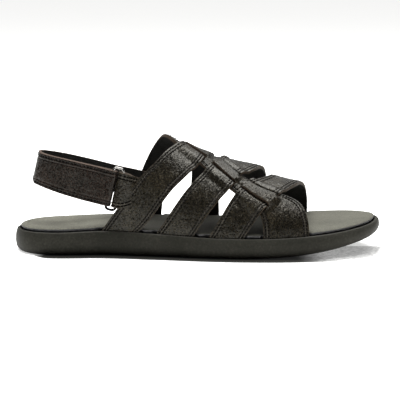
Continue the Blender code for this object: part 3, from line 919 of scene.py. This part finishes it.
def wall(name, outer, inner, materials, slits=(), opened=None, turned=None, sewn=2):
    """A strap from its outer and inner faces, open where a doubled column's slit is opened.

    Sewn is its rows of stitches along each edge. From its turned row on, its inner face is leather too.
    """
    rows, columns = outer.shape[:2]
    count = rows * columns
    faces = []
    kinds = []
    rims = from_both(EDGE_BANDS, columns)
    lips = {j for slit in slits for j in (slit - 2, slit - 1, slit + 1, slit + 2)}
    grooved = from_both(GROOVED[:2 * sewn], columns)
    ridged = from_both(RIDGED, columns) if sewn > 1 else set()

    def edge_face(a, b):
        faces.append((a, b, count + b, count + a))
        kinds.append(CUT)

    for i in range(rows - 1):
        banded = rims | lips if slits and opened[i] else rims
        for j in range(columns - 1):
            if j in slits:
                continue
            a = i * columns + j
            b = a + columns
            faces.append((a, b, b + 1, a + 1))
            kind = GROOVE if j in grooved and i % GROOVE_ROWS else (RAISED if j in ridged else FACE)
            kinds.append(CUT if j in banded else kind)
            faces.append((count + a, count + a + 1, count + b + 1, count + b))
            kinds.append(kinds[-1] if turned is not None and i >= turned else BACK)
    for j in (0, columns - 1):
        for i in range(rows - 1):
            edge_face(i * columns + j, (i + 1) * columns + j)
    for i in (0, rows - 1):
        for j in range(columns - 1):
            if j not in slits:
                edge_face(i * columns + j, i * columns + j + 1)
    for slit in slits:
        for i in range(rows - 1):
            if opened[i] or opened[i + 1]:
                for j in (slit, slit + 1):
                    edge_face(i * columns + j, (i + 1) * columns + j)
    points = np.concatenate([outer.reshape(-1, 3), inner.reshape(-1, 3)])
    piece = new_mesh(name, points, faces, materials)
    finish_mesh(piece, kinds, weld=WELD, thin=THIN, sharp=STRAP_SHARP)
    return piece


def run_lengths(line):
    """Distances along a line of points from its start."""
    return np.concatenate([[0.0], np.cumsum(np.linalg.norm(np.diff(line, axis=0), axis=1))])


def directions(line):
    """The line's direction at each of its points."""
    return unit(np.gradient(line, axis=0))


def stitches(name, lines):
    """Rows of stitches as one mesh, each line given as its points and its normals."""
    ring = np.linspace(0, 2 * math.pi, STITCH_SIDES, endpoint=False)
    along = np.linspace(0, 1, STITCH_STEPS)
    lift = THREAD * (THREAD_ARCH * np.sin(along * math.pi) ** 0.7 - THREAD_SUNK)
    girth = THREAD * (THREAD_THIN + (1 - THREAD_THIN) * np.sin(along * math.pi))
    tube = band_faces(STITCH_SIDES, STITCH_STEPS)
    tube.append(tuple(range(STITCH_SIDES - 1, -1, -1)))
    tube.append(tuple(range((STITCH_STEPS - 1) * STITCH_SIDES, STITCH_STEPS * STITCH_SIDES)))
    points = []
    faces = []
    for line, normals in lines:
        reach = run_lengths(line)
        total = int((reach[-1] - STITCH_PITCH) / STITCH_PITCH)
        spare = (reach[-1] - total * STITCH_PITCH) / 2
        for k in range(total):
            at = spare + (k + 0.5) * STITCH_PITCH + (along - 0.5) * STITCH_LONG
            middle = np.column_stack([np.interp(at, reach, line[:, axis]) for axis in range(3)])
            up = unit(np.column_stack([np.interp(at, reach, normals[:, axis]) for axis in range(3)]))
            side = np.cross(directions(middle), up)
            first = len(points)
            for i in range(STITCH_STEPS):
                centre = middle[i] + up[i] * lift[i]
                for angle in ring:
                    points.append(centre + girth[i] * (math.cos(angle) * side[i] + math.sin(angle) * up[i]))
            faces.extend(tuple(first + corner for corner in face) for face in tube)
    return new_mesh(name, points, faces, [THREAD_MATERIAL])


def stitch_lines(outer, inner, numbers, ends):
    """The points and outward normals of columns of a strap's face, counted in from both of its edges."""
    normal = unit(outer - inner)
    last = outer.shape[1] - 1
    columns = [*numbers, *(last - number for number in reversed(numbers))]
    return [(outer[ends:-ends, column], normal[ends:-ends, column]) for column in columns]


def sewn_strap(name, outer, inner, materials, **openings):
    """A strap of the upper with two rows of stitches along each edge."""
    settle(wall(name, outer, inner, materials, **openings), "upper", slot="upper")
    settle(stitches(f"{name}_stitches", stitch_lines(outer, inner, STITCHED, 3)), slot="upper")


def strap_places(rows, spacing):
    """x and round of a strap's edges about a spacing apart, its width and its table's row at each."""
    coarse = strap_table(rows, COARSE_STEPS)
    middle = last_surface((coarse[:, 0] + coarse[:, 2]) / 2, (coarse[:, 1] + coarse[:, 3]) / 2)
    reach = run_lengths(middle)
    even = np.linspace(0, reach[-1], int(reach[-1] / spacing))
    number = np.interp(even, reach, np.linspace(0, len(rows) - 1, COARSE_STEPS))
    values = strap_rows(rows, number)
    rear = last_surface(values[:, 0], values[:, 1])
    front = last_surface(values[:, 2], values[:, 3])
    return values, np.linalg.norm(front - rear, axis=1), number


def strap_grid(values, share):
    """x and round over a strap, at shares across it."""
    x = values[:, 0:1] + share * (values[:, 2:3] - values[:, 0:1])
    turn = values[:, 1:2] + share * (values[:, 3:4] - values[:, 1:2])
    return x, turn


def stepped(knots, place):
    """A height that eases between its knots."""
    table = np.asarray(knots, float)
    cell = np.clip(np.searchsorted(table[:, 0], place) - 1, 0, len(table) - 2)
    width = table[cell + 1, 0] - table[cell, 0]
    part = ease((place - table[cell, 0]) / width)
    return table[cell, 1] + part * (table[cell + 1, 1] - table[cell, 1])


def window(place, reach, width):
    """1 across a strap and easing to 0 over a width that ends a reach beyond its edges."""
    return ease((place + reach) / width) * ease((1.0 + reach - place) / width)


def make_cross_straps():
    """The three straps that pass under the long strap's band and over its borders."""
    for seed, (name, rows) in enumerate(CROSS_STRAPS.items()):
        values, width, number = strap_places(rows, CROSS_SPACING)
        distance = plain_columns(width)
        share = distance / width[:, None]
        x, turn = strap_grid(values, share)
        height = OVER * stepped(RIDE, share_across(LONG_STRAP, x, turn))
        from_edge = edge_distance(distance, width)
        body = height + LEATHER_SWELL * wobble(x, turn * INSTEP, CROSS_WAVES[0], CROSS_WAVES[1] + seed)
        if name == "middle":
            bow = smooth(BOW, np.clip(number, BOW[0][0], BOW[-1][0]))
            body += bow[:, 0:1] + share * (bow[:, 1:2] - bow[:, 0:1])
        face = STRAP + body - edge_round(from_edge) - stitch_pull(from_edge)
        outer = last_surface(x, turn, face)
        sewn_strap(f"{name}_strap", outer, last_surface(x, turn, body), LEATHER_SET)


def make_long_strap():
    """The long strap from heel to ball, with its two rows of slits and its raised band."""
    values, width, _ = strap_places(LONG_STRAP, LONG_SPACING)
    distance, slits = slit_columns(width)
    share = distance / width[:, None]
    x, turn = strap_grid(values, share)
    lift = np.zeros_like(x)
    opening = np.zeros_like(x)
    for rows in CROSS_STRAPS.values():
        place = share_across(rows, x, turn)
        lift = np.maximum(lift, window(place, LIFT_EASE, LIFT_EASE))
        opening = np.maximum(opening, window(place, OPEN_REACH, OPEN_EASE))
    number = np.arange(x.shape[1])
    in_band = (number > slits[0]) & (number <= slits[1])
    base = BASE_LIFT * lift
    to_slit = np.minimum(np.abs(share - SLIT_NEAR), np.abs(share - SLIT_FAR)) * width[:, None]
    near_slit = 1.0 - ease(to_slit / BAND_EASE)
    band_lip = lift * opening + base * (1.0 - opening)
    band = UNDER_BAND * (lift * (1.0 - near_slit) + band_lip * near_slit)
    border_share = np.where(share < 0.5, share / SLIT_NEAR, (1.0 - share) / (1.0 - SLIT_FAR))
    lip = -BORDER_DIP * opening + UNDER_BAND * base * (1.0 - opening)
    body = np.where(in_band[None, :], band, lip * ease(border_share))
    body += LEATHER_SWELL * wobble(x, turn * INSTEP, *LONG_WAVES)
    from_edge = edge_distance(distance, width)
    from_lip = to_slit + BEYOND * (opening < OPEN_FROM)
    face = STRAP + body - edge_round(np.minimum(from_edge, from_lip)) - stitch_pull(from_edge)
    outer = last_surface(x, turn, face)
    inner = last_surface(x, turn, body)
    opened = (opening[:, slits[0]] > OPEN_FROM) | (opening[:, slits[1]] > OPEN_FROM)
    for slit in slits:
        shut = opening[:, slit] <= OPEN_FROM
        outer[shut, slit + 1] = outer[shut, slit]
        inner[shut, slit + 1] = inner[shut, slit]
    materials = [LONG_LEATHER, *LEATHER_SET[1:]]
    sewn_strap("long_strap", outer, inner, materials, slits=slits, opened=opened)


def make_sole():
    """The moulded sole: rounded side, raised rim, recess, grooves across the tread."""
    sections = []
    for inset, height in SIDE:
        ring = outline_ring(inset * RIM)
        sections.append(np.column_stack([ring, tread_height(ring[:, 0]) + height * side_height(ring[:, 0])]))
    ring = outline_ring(RIM)
    sections.append(np.column_stack([ring, floor_height(ring[:, 0])]))
    count = 2 * HALF_STEPS
    faces = band_faces(count, len(sections))
    faces += cap_faces(count) + cap_faces(count, (len(sections) - 1) * count)
    sole = new_mesh("moulded_sole", np.vstack(sections), faces, [RUBBER])
    finish_mesh(sole, sharp=SOLE_SHARP)
    cutter = bmesh.new()
    for along in GROOVES:
        x = (along - 0.5) * LENGTH
        low = last_edge(x, -1) + GROOVE_STOP
        high = last_edge(x, 1) - GROOVE_STOP
        made = bmesh.ops.create_cube(cutter, size=1.0)["verts"]
        bmesh.ops.scale(cutter, verts=made, vec=(GROOVE_WIDE, high - low, 2 * GROOVE_DEEP))
        bmesh.ops.translate(cutter, verts=made, vec=(x, (low + high) / 2, float(tread_height(x))))
    mesh = bpy.data.meshes.new("groove_cutter")
    cutter.to_mesh(mesh)
    cutter.free()
    tool = new_object("groove_cutter", mesh)
    cut = sole.modifiers.new("grooves", "BOOLEAN")
    cut.operation = "DIFFERENCE"
    cut.object = tool
    apply_modifiers(sole)
    bpy.data.objects.remove(tool)
    sole.data.set_sharp_from_angle(angle=math.radians(SOLE_SHARP))
    settle(sole, "sole", slot="sole")


def feet_ranges(side):
    """Where straps' feet stand along one side of the footbed, as low and high x."""
    spans = []
    for rows in list(CROSS_STRAPS.values()) + [LONG_STRAP]:
        table = strap_table(rows, FEET_STEPS)
        feet = table[(np.sign(table[:, 1]) == side) & (np.abs(table[:, 1]) > FEET_FROM)]
        spans.append((feet[:, 0].min(), feet[:, 2].max()))
    return spans


def arch_height(points):
    """How far the footbed's arch rises at points of its plan."""
    rise = ARCH_RISE * np.exp(-((along_sole(points[..., 0]) - ARCH_ALONG) / ARCH_SPREAD) ** 2)
    return rise * np.clip(points[..., 1] / ARCH_WIDE, 0.0, 1.0)


def make_footbed():
    """The padded footbed: rounded edge, low arch, pressed in where the straps go down."""
    count = 2 * HALF_STEPS
    plain = outline_ring(RIM)
    inset = np.zeros(count)
    side = np.where(np.arange(count) <= HALF_STEPS, -1, 1)
    for way in (-1, 1):
        for low, high in feet_ranges(way):
            press = ease((plain[:, 0] - low + PRESS_REACH) / PRESS_EASE)
            press *= ease((high + PRESS_REACH - plain[:, 0]) / PRESS_EASE)
            inset = np.maximum(inset, np.where(side == way, press, 0.0))
    inset *= STRAP + 0.5 * CLEARANCE
    height = RECESS - CLEARANCE + FOOTBED_PROUD
    sections = []
    for edge, level in PAD_EDGE:
        ring = outline_ring(RIM + CLEARANCE + edge * RIM + inset)
        z = floor_height(ring[:, 0]) + CLEARANCE + level * (height + arch_height(ring))
        sections.append(np.column_stack([ring, z]))
    rim = sections[-1]
    lateral = rim[:HALF_STEPS + 1]
    medial = rim[np.r_[0, np.arange(count - 1, HALF_STEPS - 1, -1)]]
    share = np.linspace(0, 1, PAD_STEPS)
    top = lateral[:, None, :] + share[None, :, None] * (medial - lateral)[:, None, :]
    along = along_sole(top[..., 0])
    dome = 1.0 - (2 * share[None, :] - 1.0) ** 2
    cup = sum(deep * np.exp(-((along - centre) / spread) ** 2) for centre, spread, deep in PAD_FORMS)
    top[..., 2] = floor_height(top[..., 0]) + CLEARANCE + height + arch_height(top) + cup * dome
    top[..., 2] += PAD_SWELL * dome * wobble(top[..., 0], top[..., 1], *PAD_WAVES)
    points = np.vstack([*sections, top.reshape(-1, 3)])
    faces = band_faces(count, len(sections))
    kinds = [1] * (PAD_SIDE * count) + [0] * (len(faces) - PAD_SIDE * count)
    first = len(sections) * count
    for i in range(HALF_STEPS):
        for j in range(PAD_STEPS - 1):
            a = first + i * PAD_STEPS + j
            faces.append((a, a + PAD_STEPS, a + PAD_STEPS + 1, a + 1))
            kinds.append(0)
    faces += cap_faces(count)
    kinds += [1] * HALF_STEPS
    piece = new_mesh("padded_footbed", points, faces, [NUBUCK, FOAM])
    finish_mesh(piece, kinds, weld=PAD_WELD)
    settle(piece, "footbed", slot="footbed")


def pitched(forward, across, up):
    """World points of the heel strap's plane, whose origin is at the back of the heel."""
    forward, across, up = np.broadcast_arrays(forward, across, up)
    cosine = math.cos(HEEL_STRAP_PITCH)
    sine = math.sin(HEEL_STRAP_PITCH)
    x = -HEEL_STRAP_BACK + forward * cosine + up * sine
    z = HEEL_STRAP_HIGH - forward * sine + up * cosine
    return np.stack([x, across, z], axis=-1)


def ring_half():
    """Half the distance between the middles of the ring's two long bars."""
    return (RING_WIDE - WIRE) / 2


def line_middle():
    """The heel strap's middle line between its two layers, its lean and its width, up to the rear bar."""
    values = smooth(rows_by_number(HEEL_LINE), np.linspace(0, len(HEEL_LINE) - 1, LINE_STEPS))
    middle = values[:, :2] * (RING_ALONG, BALL)
    lean = values[:, 2]
    wide = values[:, 3] * HEEL_STRAP_WIDE
    layer = CLEARANCE + HEEL_STRAP / 2 - (HEEL_STRAP + CLEARANCE) / 2
    for i, (forward, across) in enumerate(middle):
        share = ease((forward - SEWN_FROM) / SEWN_EASE)
        if across > 0 and share > 0:
            edges = pitched(np.full(2, forward), 0.0, np.array([-wide[i], wide[i]]) / 2)
            turn = last_turn(edges[:, 0], edges[:, 2], 1)
            low, high = last_points(edges[:, 0], turn)[:, 1]
            middle[i, 1] += share * ((low + high) / 2 - layer - across)
            lean[i] += share * (math.degrees(math.atan((low - high) / wide[i])) - lean[i])
    return middle, lean, wide


MIDDLE_LINE, LINE_LEAN, LINE_WIDE = line_middle()
RING_TILT = math.tan(math.radians(LINE_LEAN[-1]))


def make_heel_strap():
    """One strap: sewn end, round the heel, through the ring and back over itself as the flap."""
    bar = MIDDLE_LINE[-1]
    inward = turned_left(directions(MIDDLE_LINE))
    to_bar = run_lengths(MIDDLE_LINE[::-1])[::-1]
    at_bar = WIRE / 2 + CLEARANCE + HEEL_STRAP / 2
    apart = (HEEL_STRAP + CLEARANCE) / 2
    half = at_bar + (apart - at_bar) * ease(to_bar / FOLD_EASE)
    leg = MIDDLE_LINE + inward * half[:, None]
    flap = to_bar < FLAP
    back = (MIDDLE_LINE - inward * half[:, None])[flap]
    turns = np.linspace(0, math.pi, FOLD_STEPS)[1:-1]
    start = math.atan2(inward[-1][1], inward[-1][0])
    fold = [bar + at_bar * np.array([math.cos(start - turn), math.sin(start - turn)]) for turn in turns]
    path = np.vstack([leg, fold, back[::-1]])
    leans, width = (np.concatenate([values, np.full(len(fold), values[-1]), values[flap][::-1]])
                    for values in (LINE_LEAN, LINE_WIDE))
    normal = turned_left(directions(path))
    distance = plain_columns(width)
    up = distance - width[:, None] / 2
    tilt = np.tan(np.radians(leans)) * -np.sign(path[:, 1])
    from_edge = edge_distance(distance, width)
    swell = HEEL_STRAP_SWELL * wobble(run_lengths(path)[:, None] + 0 * up, up, *HEEL_WAVES)
    turned = len(leg) - FOLD_LEAD
    folded = np.arange(len(path)) >= turned
    finished = HEEL_STRAP / 2 - edge_round(from_edge) - stitch_pull(from_edge)
    plain = np.full_like(up, HEEL_STRAP / 2)
    thick = {-1: np.where(folded[:, None], plain, finished) + swell,
             1: np.where(folded[:, None], finished, plain) - swell}
    faces = []
    for side in (-1, 1):
        plan = path[:, None, :] + side * thick[side][..., None] * normal[:, None, :]
        faces.append(pitched(plan[..., 0], plan[..., 1] + tilt[:, None] * up, up))
    materials = [HEEL_LEATHER, LINING, HEEL_EDGE, SEAM_SHADE]
    strap = wall("heel_strap_leather", faces[0], faces[1], materials, turned=turned, sewn=1)
    settle(strap, "heel_strap", slot="heel_strap")
    bare = len(leg) - int(flap.sum())
    lines = stitch_lines(faces[0][:bare], faces[1][:bare], STITCHED[:1], 4)
    lines += stitch_lines(faces[1][len(leg):], faces[0][len(leg):], STITCHED[:1], 4)
    settle(stitches("heel_strap_stitches", lines), slot="heel_strap")


def make_ring():
    """The oblong wire ring that the heel strap passes through."""
    centre = MIDDLE_LINE[-1] + (ring_half(), 0.0)
    straight_long = (RING_LONG - WIRE) / 2 - RING_CORNER
    straight_wide = ring_half() - RING_CORNER
    points = []
    for quarter in range(4):
        wide = straight_wide if quarter in (0, 3) else -straight_wide
        long = straight_long if quarter < 2 else -straight_long
        for turn in np.linspace(quarter, quarter + 1, CORNER_STEPS) * math.pi / 2:
            forward = wide + RING_CORNER * math.cos(turn)
            up = long + RING_CORNER * math.sin(turn)
            points.append(pitched(centre[0] + forward, centre[1] + RING_TILT * up, up))
    curve = bpy.data.curves.new("nickel_ring", "CURVE")
    curve.dimensions = "3D"
    curve.bevel_depth = WIRE / 2
    curve.bevel_resolution = 6
    spline = curve.splines.new("POLY")
    spline.points.add(len(points) - 1)
    for knot, point in zip(spline.points, points):
        knot.co = (*point, 1.0)
    spline.use_cyclic_u = True
    spline.use_smooth = True
    heights = [point[2] for point in points]
    curve.materials.append(nickel_material(min(heights), max(heights)))
    settle(new_object("nickel_ring", curve), "ring", slot="ring")


def tab_section(along, low, high, inner, outer):
    """A section of the tab that follows the last, between two heights and two offsets."""
    x = np.full(2, (along - 0.5) * LENGTH)
    turn = last_turn(x, np.array([low, high]) * INSTEP, -1)
    under = last_surface(x, turn, inner)
    over = last_surface(x, turn, outer)
    return np.array([under[0], over[0], over[1], under[1]])


def eye_section(turn):
    """A section of the tab's eye round the ring's front bar, turned from outside to inside."""
    bar = MIDDLE_LINE[-1] + (2 * ring_half(), 0.0)
    reach = LINE_WIDE[-1] / 2
    close = WIRE / 2 + CLEARANCE
    far = close + TAB + EYE_SWELL
    corners = []
    for radius, up in ((close, -1), (far, -1), (far, 1), (close, 1)):
        forward = bar[0] - radius * math.sin(turn)
        across = bar[1] - radius * math.cos(turn) + RING_TILT * reach * up
        corners.append(pitched(forward, across, reach * up))
    return np.array(corners)


def make_tab():
    """The leather tab from under the rear strap, back and round the ring's front bar."""
    outer = CLEARANCE + STRAP / 3
    inner = outer - TAB
    sections = [tab_section(*place, inner, outer) for place in TAB_ROOT]
    sections += [eye_section(turn) for turn in np.linspace(0, math.pi, CORNER_STEPS)]
    sewn = tab_section(*TAB_SEWN, inner - TAB_BEDDED * TAB, inner + (1 - TAB_BEDDED) * TAB)
    sections.append(sewn[[1, 0, 3, 2]])
    sections = np.array(sections)
    reach = run_lengths(sections.mean(axis=1))
    table = np.column_stack([reach, sections.reshape(len(sections), 12)])
    fine = smooth(table, np.linspace(0, reach[-1], TAB_ROWS)).reshape(-1, 4, 3)
    width = np.linalg.norm(fine[:, 2] - fine[:, 1], axis=1)
    distance = plain_columns(width)
    share = (distance / width[:, None])[..., None]
    over = fine[:, None, 1] + share * (fine[:, None, 2] - fine[:, None, 1])
    under = fine[:, None, 0] + share * (fine[:, None, 3] - fine[:, None, 0])
    from_edge = edge_distance(distance, width)
    drop = (edge_round(from_edge) + stitch_pull(from_edge)) / TAB
    face = over + drop[..., None] * (under - over)
    tab = wall("ring_tab", face, under, LEATHER_SET)
    settle(tab, "upper", slot="upper")


def make_camera():
    """The camera of the photograph, level with the ground and a little above the sandal."""
    data = bpy.data.cameras.new("photo_camera")
    data.lens = CAMERA_LENS
    data.sensor_width = 36.0
    data.clip_end = 60.0
    camera = new_object("photo_camera", data)
    x, y, z = CAMERA_TARGET
    camera.location = (x, y - CAMERA_DISTANCE * math.cos(CAMERA_ELEVATION),
                       z + CAMERA_DISTANCE * math.sin(CAMERA_ELEVATION))
    camera.rotation_euler = (math.pi / 2 - CAMERA_ELEVATION, 0.0, 0.0)
    bpy.context.scene.camera = camera


def make_floor():
    """A plain white studio floor that runs far behind the sandal."""
    bpy.ops.mesh.primitive_plane_add(size=FLOOR_SIZE)
    floor = bpy.context.object
    floor.name = "studio_floor"
    material, tree, shader, _ = start_material("floor_white", 0.9, specular=0.1)
    fill_inputs(tree, shader, {
        "Base Color": (0.92, 0.92, 0.91, 1.0),
        "Emission Color": (1.0, 1.0, 0.99, 1.0),
        "Emission Strength": FLOOR_GLOW,
    })
    floor.data.materials.append(material)


def make_painted_contact_shadow():
    """A dark sheet on the floor that paints the shadow where the sole meets it, and the mottled shade under
    the raised toe.
    """
    count = HALF_STEPS + 1
    along = along_sole(outline_ring()[:count, 0])
    reach = CONTACT_REACH * ease((along - CONTACT_HEEL) / CONTACT_EASE) * ease((1.0 - along) / CONTACT_EASE)
    toe = ease((along - TOE_SHADE[0]) / TOE_SHADE[1])
    deep = CONTACT_DEEP + TOE_DEEP * ease((along - TOE_DEPTH[0]) / TOE_DEPTH[1])
    # Inset and shade of each row, from under the sole outward
    rows = (
        (deep, 1.0 - 0.45 * toe),
        (-0.75 * reach, 0.96 - 0.50 * toe),
        (-reach - TOE_REACH * toe, 0.0 * toe),
    )
    points = []
    shades = []
    for inset, shade in rows:
        ring = outline_ring(np.append(inset, np.zeros(HALF_STEPS - 1)))[:count]
        points.extend((x, y, CONTACT_HIGH) for x, y in ring)
        shades.extend(shade * ease((along - SHADE_HEEL) / CONTACT_EASE))
    faces = [(k * count + i, k * count + i + 1, (k + 1) * count + i + 1, (k + 1) * count + i)
             for k in range(2) for i in range(HALF_STEPS)]
    # Near black with a painted alpha: the contact shadow and the toe's shade painted onto the floor
    material, tree, shader, place = start_material("painted_contact_shadow_dark", 1.0, specular=0.0)
    painted = add_node(tree, "VertexColor", {})
    painted.layer_name = "shade"
    mask = painted.outputs["Color"]
    mottle = ramp(tree, noise(tree, place, 260.0, 3.0, 0.7), ((0.38, 0.30), (0.60, 1.0)))
    faint = ramp(tree, mask, ((0.0, 1.0), (0.95, 0.0)))
    fill_inputs(tree, shader, {
        "Base Color": (0.019, 0.019, 0.016, 1.0),
        "Alpha": blend(tree, faint, mask, mottle),
    })
    contact = new_mesh("painted_contact_shadow", points, faces, [material])
    layer = contact.data.color_attributes.new("shade", "FLOAT_COLOR", "POINT")
    for entry, shade in zip(layer.data, shades):
        entry.color = (shade, shade, shade, 1.0)


def make_light():
    """A soft box overhead, a bright studio behind and a dim one towards the camera."""
    box = bpy.data.lights.new("soft_box", "AREA")
    box.shape = "RECTANGLE"
    box.size, box.size_y = LAMP_SIZE
    box.energy = LAMP_POWER
    lamp = new_object("soft_box", box)
    lamp.location = LAMP_PLACE
    lamp.rotation_euler = (LAMP_TILT, 0.0, 0.0)
    world = bpy.data.worlds.new("studio")
    bpy.context.scene.world = world
    world.use_nodes = True
    tree = world.node_tree
    direction = add_node(tree, "TexCoord", {}).outputs["Generated"]
    above = ramp(tree, share_along(tree, direction, "Z", 0.0, 1.0), ((0.58, 0.0), (0.92, 1.0)))
    back = ramp(tree, share_along(tree, direction, "Y", -1.0, 1.0), ((0.48, 0.05), (0.75, 1.0)))
    fill_inputs(tree, tree.nodes["Background"],
                {"Color": blend(tree, 1.0, above, back, "ADD"), "Strength": SKY_STRENGTH})
    view = bpy.context.scene.view_settings
    view.view_transform = "Standard"
    view.look = "None"
    view.exposure = 0.0


make_camera()
make_floor()
make_painted_contact_shadow()
make_light()
make_sole()
make_footbed()
make_cross_straps()
make_long_strap()
make_heel_strap()
make_tab()
make_ring()
